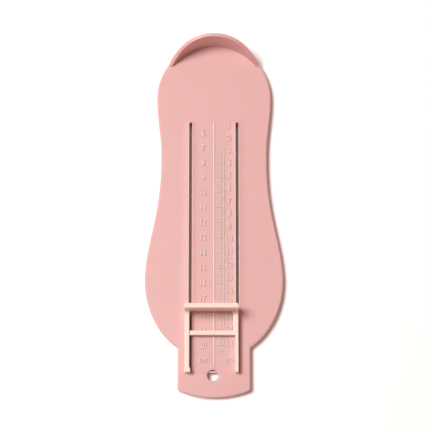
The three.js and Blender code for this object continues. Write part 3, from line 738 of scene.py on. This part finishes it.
def slider_distance(s):
    """The slider's distance function, and the planes at which its grid is fine."""
    left_in = s.shift - s.leg_inner - s.left_set_out
    left_out = left_in - s.left_rail
    right_out = s.shift + s.leg_outer
    right_in = right_out - s.right_rail
    face, tail = SLIDER_HIGH.y, SLIDER_LOW.y
    back = face - s.wall_thickness
    bar_front = back - s.bar_gap
    bar_back = bar_front - s.bar_thickness
    rail_top = s.rail_bottom + s.rail_height
    bar_top = s.cross_bottom + s.bar_height
    wall_top = SLIDER_HIGH.z
    rail_front = face - s.wall_corner
    foot_end = tail + s.tail_past_leg + s.leg_length
    into, blade_round, index_round = 1 * MM, 0.12 * MM, 0.15 * MM
    ledge_in, ledge_top = right_in - s.ledge_width, rail_top - s.ledge_drop
    rails = [
        ((left_out, tail, s.rail_bottom), (left_in, rail_front, rail_top)),
        ((right_in, tail, s.rail_bottom), (right_out, rail_front, rail_top)),
        ((left_in - into, tail, s.rail_bottom), (left_in + s.foot_step, foot_end, rail_top)),
    ]
    cross = [
        ((left_in - into, bar_back, s.cross_bottom), (right_in + into, bar_front, bar_top)),
        ((ledge_in, bar_back, s.cross_bottom), (right_in + into, back + into, ledge_top)),
    ]
    index_low = (s.shift - s.index_width / 2, bar_back + s.edge, bar_top - into)
    index_high = (s.shift + s.index_width / 2, bar_front - s.edge, bar_top + s.index_height)
    leg_y = (tail + s.tail_past_leg, face - s.leg_set_back - s.leg_length)
    wall_low = np.array([left_out, back, s.cross_bottom])
    wall_high = np.array([right_out, face, wall_top])

    def wall(points):
        """An upright box with larger corners at the toes and rounded upper and lower edges."""
        centre, half = (wall_low + wall_high) / 2, (wall_high - wall_low) / 2
        local = points - centre
        corner = np.where(local[..., 1] > 0, s.wall_corner, s.edge)
        q = np.abs(local[..., :2]) - half[:2] + corner[..., None]
        plan = np.linalg.norm(np.maximum(q, 0), axis=-1) + np.minimum(q.max(axis=-1), 0) - corner
        rise = np.abs(local[..., 2]) - half[2]
        inner = np.minimum(np.maximum(plan, rise) + s.edge, 0)
        return inner + np.hypot(np.maximum(plan + s.edge, 0), np.maximum(rise + s.edge, 0)) - s.edge

    def fillet(points, low_x, high_x):
        """Material left between a box behind the wall and a cylinder along X."""
        r = s.wall_fillet
        low, high = (low_x, back - r, rail_top - into), (high_x, back + into, rail_top + r)
        box = block_distance(points, low, high, 0.0)
        hollow = np.hypot(points[..., 1] - (back - r), points[..., 2] - (rail_top + r)) - r
        return np.maximum(box, -hollow)

    def corner_fillet(points, corner_x, side):
        """The same between the wall's back and a rail's inner face, with the cylinder upright."""
        r = s.corner_fillet
        low_x, high_x = sorted((corner_x - side * into, corner_x + side * r))
        low = (low_x, back - r, s.cross_bottom + s.edge)
        box = block_distance(points, low, (high_x, back + into, rail_top), 0.0)
        hollow = np.hypot(points[..., 0] - (corner_x + side * r), points[..., 1] - (back - r)) - r
        return np.maximum(box, -hollow)

    def leg(points, side, low_y):
        """An upright blade whose hook is cut off by a slope below its catching face."""
        local = (points - np.array([s.shift, 0, 0])) * np.array([side, 1.0, 1.0])
        low, high_y = (s.leg_inner, low_y, s.hook_foot), low_y + s.leg_length
        blade = block_distance(local, low, (s.leg_outer, high_y, s.rail_bottom + into), blade_round)
        hook = block_distance(local, low, (s.leg_outer + s.hook_reach, high_y, s.hook_top), blade_round)
        run, rise = s.hook_reach, s.hook_top - s.hook_catch - s.hook_foot
        slope = (local[..., 0] - s.leg_outer) * rise - (local[..., 2] - s.hook_foot) * run
        return np.minimum(blade, np.maximum(hook, slope / math.hypot(run, rise)))

    def distance(points):
        frame_parts = [block_distance(points, low, high, s.edge) for low, high in rails]
        frame_parts += [wall(points), fillet(points, left_out, left_in), fillet(points, right_in, right_out)]
        frame_parts += [corner_fillet(points, left_in, 1), corner_fillet(points, ledge_in, -1)]
        cross_parts = [block_distance(points, low, high, s.edge) for low, high in cross]
        body = round_union(np.min(frame_parts, axis=0), np.min(cross_parts, axis=0), s.joint)
        index = block_distance(points, index_low, index_high, index_round)
        legs = [leg(points, side, low_y) for side in (-1, 1) for low_y in leg_y]
        return np.min([body, index, *legs], axis=0)

    leg_x = np.array([s.leg_inner, s.leg_outer, s.leg_outer + s.hook_reach])
    across = [left_out, left_in, left_in + s.foot_step, index_low[0], index_high[0]]
    across += [ledge_in, right_in, right_out, *(s.shift + leg_x), *(s.shift - leg_x)]
    along = [tail, leg_y[0], foot_end, bar_back, bar_front, back, face, leg_y[1], face - s.leg_set_back]
    along += [back - s.wall_fillet, back - s.wall_fillet / 2]
    upright = [s.hook_foot, s.hook_top, s.hook_top - s.hook_catch, s.rail_bottom, s.cross_bottom, bar_top]
    upright += [rail_top, rail_top + s.wall_fillet / 2, rail_top + s.wall_fillet, wall_top]
    return distance, [across, along, upright]


def plastic(name, bright, deep, highlighted, glow, seed):
    """Satin moulded plastic that lets a little light through, made once. It is slightly cloudy, the tops of
    low raised marks on the plate are painted lighter as a painted highlight, its gloss varies, and it has
    fine grain over a faint long waviness."""
    if name in bpy.data.materials:
        return bpy.data.materials[name]
    f = bpy.context.scene.foot_gauge_finish
    material = bpy.data.materials.new(name)
    material.use_nodes = True
    tree = material.node_tree
    tree.nodes.clear()

    def node(kind, inputs, output, **settings):
        """A new node's output. Each of its inputs is a value or a link."""
        made = tree.nodes.new("ShaderNode" + kind)
        for setting, value in settings.items():
            setattr(made, setting, value)
        for socket, value in inputs.items():
            if isinstance(value, bpy.types.NodeSocket):
                tree.links.new(value, made.inputs[socket])
            else:
                made.inputs[socket].default_value = value
        return made.outputs[output]

    place = node("TexCoord", {}, "Object")
    moved = node("Mapping", {"Vector": place, "Location": (seed, 0.37 * seed, 0.61 * seed)}, "Vector")

    def noise(scale, detail, distortion=0.0):
        inputs = {"Vector": moved, "Scale": scale, "Detail": detail, "Distortion": distortion}
        return node("TexNoise", inputs, "Fac")

    def mixed(a, b, factor):
        return node("Mix", {"A": a, "B": b, "Factor": factor}, "Result", data_type="RGBA")

    def beyond(axis, start, stop):
        """Eased from 0 at the start to 1 at the stop, along an axis."""
        value = node("SeparateXYZ", {"Vector": place}, axis)
        inputs = {"Value": value, "From Min": start, "From Max": stop}
        return node("MapRange", inputs, "Result", interpolation_type="SMOOTHSTEP")

    def product(a, b):
        return node("Math", {0: a, 1: b}, "Value", operation="MULTIPLY")

    def bump(height, strength, depth, **under):
        return node("Bump", {"Height": height, "Strength": strength, "Distance": depth, **under}, "Normal")

    # Painted highlight: low raised marks and slot lips on the plate, below the heel, get a lighter colour on
    # their tops
    painted_highlight_mask = product(beyond("Y", f.rub_end, f.rub_far), beyond("Z", f.rub_start, f.rub_full))
    painted_highlight_mask = product(painted_highlight_mask, beyond("Z", f.rub_stop, f.rub_fade))
    cloudy = mixed((*bright, 1), (*deep, 1), noise(f.cloud_scale, 3, 1.5))
    gloss = {"Value": noise(f.gloss_scale, 4)}
    gloss |= {"To Min": f.roughness - f.gloss_change, "To Max": f.roughness + f.gloss_change}
    wave = bump(noise(f.wave_scale, 1), f.wave_strength, f.wave_depth)
    grain = bump(noise(1 / f.grain, 2), f.grain_strength, f.grain_depth, Normal=wave)
    look = {"Base Color": mixed(cloudy, (*highlighted, 1), painted_highlight_mask), "Normal": grain}
    look |= {"Roughness": node("MapRange", gloss, "Result"), "IOR": 1.5}
    look |= {"Subsurface Weight": glow, "Subsurface Radius": f.reach, "Subsurface Scale": MM}
    output = tree.nodes.new("ShaderNodeOutputMaterial")
    tree.links.new(node("BsdfPrincipled", look, "BSDF"), output.inputs["Surface"])
    return material


def plate_piece(name, patches):
    """A piece of the plate's body, in pink plastic."""
    f = bpy.context.scene.foot_gauge_finish
    pink = plastic("pink plastic", f.pink, f.pink_deep, f.pink_rubbed, f.pink_glow, 0.0)
    return piece(name, patches, pink, PLATE_BODY)


class FOOTGAUGE_OT_plate(bpy.types.Operator):
    """Make the plate moulding with its heel wall, slots and hanging hole"""

    bl_idname = "foot_gauge.plate"
    bl_label = "Plate"

    def execute(self, context):
        s = context.scene.foot_gauge_plate
        p = plate_places(s)
        rows = plate_rows(s)
        rings = edge_rings(s, rows)
        hole_radius = s.hole_diameter / 2 + s.hole_round
        patches = plane_patches(s, rows, rings[0][0], p.lip_radius, hole_radius, s.height)
        patches += plane_patches(s, rows, rings[-1][0], p.slot_radius, p.tube_radius, p.underside)
        patches += [side_patch(s, rows, rings), hole_patch(s, rows)]
        patches += slot_patches(s, rows)
        plate = plate_piece("plate_moulding", patches)
        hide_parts("measuring_plate")
        return {"FINISHED"}


class FOOTGAUGE_OT_ribs(bpy.types.Operator):
    """Make the ribs under the plate"""

    bl_idname = "foot_gauge.ribs"
    bl_label = "Ribs"

    def execute(self, context):
        radius, fine, coarse = 0.2 * MM, 0.2 * MM, 4 * MM
        blocks = rib_blocks(context.scene.foot_gauge_plate)
        plate_piece("under_ribs", [blocks_surface(blocks, radius, fine, coarse)])
        return {"FINISHED"}


class FOOTGAUGE_OT_marks(bpy.types.Operator):
    """Make the bead, the scale line and its ticks"""

    bl_idname = "foot_gauge.marks"
    bl_label = "Marks"

    def execute(self, context):
        s, m = context.scene.foot_gauge_plate, context.scene.foot_gauge_marks
        p = plate_places(s)
        slot_top = p.slot_high + p.slot_radius
        bead_low = p.hole_y + m.bead_from_hole
        centre = [(0, (slot_top + bead_low) / 2)]
        bead = loaf_patches(centre, [(m.bead_width, slot_top - bead_low)], m.bead_height, s.height)
        plate_piece("centre_bead", bead)

        ticks = np.arange(math.ceil(m.first / m.tick_pitch), math.floor(m.last / m.tick_pitch) + 1)
        stressed = [ticks % 10 == 0, ticks % 10 == 5]
        lengths = np.select(stressed, [m.long_tick, m.middle_tick], m.short_tick)
        stress = np.select(stressed, [m.long_stress, m.middle_stress], 1)
        into_line = 0.2 * MM
        spine = m.line_x - m.line_width / 2
        centres = np.stack([spine - lengths / 2, p.face_y - ticks * m.tick_pitch], axis=-1)
        sizes = np.stack([lengths + into_line, m.tick_width * stress], axis=-1)
        line = [(m.line_x, p.face_y - (m.first + m.last) / 2)]
        scale = loaf_patches(centres, sizes, m.height * stress, s.height)
        scale += loaf_patches(line, [(m.line_width, m.last - m.first)], m.height, s.height)
        plate_piece("scale_line_and_ticks", scale)
        return {"FINISHED"}


class FOOTGAUGE_OT_numbers(bpy.types.Operator):
    """Make the raised numbers and the plain labels"""

    bl_idname = "foot_gauge.numbers"
    bl_label = "Numbers"

    def execute(self, context):
        s, m = context.scene.foot_gauge_plate, context.scene.foot_gauge_marks
        face_y = plate_places(s).face_y

        def word(text, x, from_wall):
            y = face_y - from_wall
            return text_patch(str(text), m.number_height, m.number_width, x, y, s.height, m.number_lift)

        centimetres, steps = range(m.first_centimetre, m.last_centimetre + 1), range(m.right_count)
        left = [word(n, m.left_column, n * 10 * MM) for n in centimetres]
        right = [word(n + 1, m.right_column, m.right_start + n * m.right_pitch) for n in steps]
        labels = [word("cm", m.left_column, m.label_from_wall), word("no", m.right_column, m.label_from_wall)]
        plate_piece("centimetre_numbers", left)
        plate_piece("step_numbers", right)
        plate_piece("column_labels", labels)
        return {"FINISHED"}


class FOOTGAUGE_OT_slider(bpy.types.Operator):
    """Make the slider moulding with its toe wall, rails, bar and snap legs"""

    bl_idname = "foot_gauge.slider"
    bl_label = "Slider"

    def execute(self, context):
        distance, planes = slider_distance(context.scene.foot_gauge_slider)
        fine, coarse, margin = 0.2 * MM, 1.2 * MM, 1 * MM
        lines = [gathered(min(found) - margin, max(found) + margin, found, fine, coarse) for found in planes]
        f = context.scene.foot_gauge_finish
        cream = plastic("cream plastic", f.cream, f.cream_deep, f.cream, f.cream_glow, 3.1)
        slider = piece("slider_moulding", [zero_surface(distance, lines)], cream, SLIDER_BODY)
        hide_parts("toe_slider")
        return {"FINISHED"}


class FOOTGAUGE_OT_stage(bpy.types.Operator):
    """Make the floor, the lights and the camera"""

    bl_idname = "foot_gauge.stage"
    bl_label = "Stage"

    def execute(self, context):
        scene = context.scene
        g = scene.foot_gauge_stage
        half, drop = g.floor_size / 2, 0.05 * MM
        mesh = bpy.data.meshes.new("floor")
        corners = [(x * half, y * half, -drop) for x, y in ((-1, -1), (1, -1), (1, 1), (-1, 1))]
        mesh.from_pydata(corners, [], [(0, 1, 2, 3)])
        material = bpy.data.materials.new("pale floor")
        material.use_nodes = True
        shader = material.node_tree.nodes["Principled BSDF"]
        shader.inputs["Base Color"].default_value = (*g.floor, 1)
        shader.inputs["Roughness"].default_value = 0.8
        shader.inputs["Specular IOR Level"].default_value = 0.2
        mesh.materials.append(material)
        floor = linked("floor", mesh)

        world = bpy.data.worlds.new("even light")
        world.use_nodes = True
        background = world.node_tree.nodes["Background"]
        background.inputs["Color"].default_value = (*g.sky_tint, 1)
        background.inputs["Strength"].default_value = g.sky
        scene.world = world

        lamp = bpy.data.lights.new("key", "AREA")
        lamp.shape = "DISK"
        lamp.size = g.key_size
        lamp.energy = g.key_power
        key = linked("key", lamp)
        key.location = (-g.key_left * g.key_height, g.key_back * g.key_height, g.key_height)
        key.rotation_euler = (-key.location).to_track_quat("-Z", "Y").to_euler()

        aim = Vector((g.aim_x, g.aim_y, scene.foot_gauge_plate.height))
        lens = bpy.data.cameras.new("camera")
        lens.sensor_width = 36
        lens.lens = g.focal
        lens.clip_start, lens.clip_end = 0.05, 20
        camera = linked("camera", lens)
        away = Vector((0, -math.cos(g.elevation), math.sin(g.elevation)))
        camera.location = aim + away * g.distance
        camera.rotation_euler = (-away).to_track_quat("-Z", "Y").to_euler()
        scene.camera = camera
        scene.view_settings.view_transform = "Standard"
        return {"FINISHED"}


class FOOTGAUGE_PT_sidebar(bpy.types.Panel):
    """Lists the gauge's pieces and the stage"""

    bl_idname = "FOOTGAUGE_PT_sidebar"
    bl_label = "Foot Gauge"
    bl_space_type = "VIEW_3D"
    bl_region_type = "UI"
    bl_category = "Foot Gauge"

    def draw(self, context):
        for operator in OPERATORS:
            self.layout.operator(operator.bl_idname)
        for attribute, group in GROUPS.items():
            box = self.layout.box()
            box.label(text=group.__doc__)
            for name in group.__annotations__:
                box.prop(getattr(context.scene, attribute), name)


GROUPS = {
    "foot_gauge_plate": FOOTGAUGE_PG_plate,
    "foot_gauge_marks": FOOTGAUGE_PG_marks,
    "foot_gauge_slider": FOOTGAUGE_PG_slider,
    "foot_gauge_finish": FOOTGAUGE_PG_finish,
    "foot_gauge_stage": FOOTGAUGE_PG_stage,
}
OPERATORS = (
    FOOTGAUGE_OT_stage,
    FOOTGAUGE_OT_plate,
    FOOTGAUGE_OT_ribs,
    FOOTGAUGE_OT_marks,
    FOOTGAUGE_OT_numbers,
    FOOTGAUGE_OT_slider,
)


def register():
    for found in (*GROUPS.values(), *OPERATORS, FOOTGAUGE_PT_sidebar):
        bpy.utils.register_class(found)
    for attribute, group in GROUPS.items():
        setattr(bpy.types.Scene, attribute, bpy.props.PointerProperty(type=group))


def unregister():
    for attribute in GROUPS:
        delattr(bpy.types.Scene, attribute)
    for found in reversed((*GROUPS.values(), *OPERATORS, FOOTGAUGE_PT_sidebar)):
        bpy.utils.unregister_class(found)


def main():
    register()
    bpy.ops.foot_gauge.stage()
    bpy.ops.foot_gauge.plate()
    bpy.ops.foot_gauge.ribs()
    bpy.ops.foot_gauge.marks()
    bpy.ops.foot_gauge.numbers()
    bpy.ops.foot_gauge.slider()


if __name__ == "__main__":
    main()
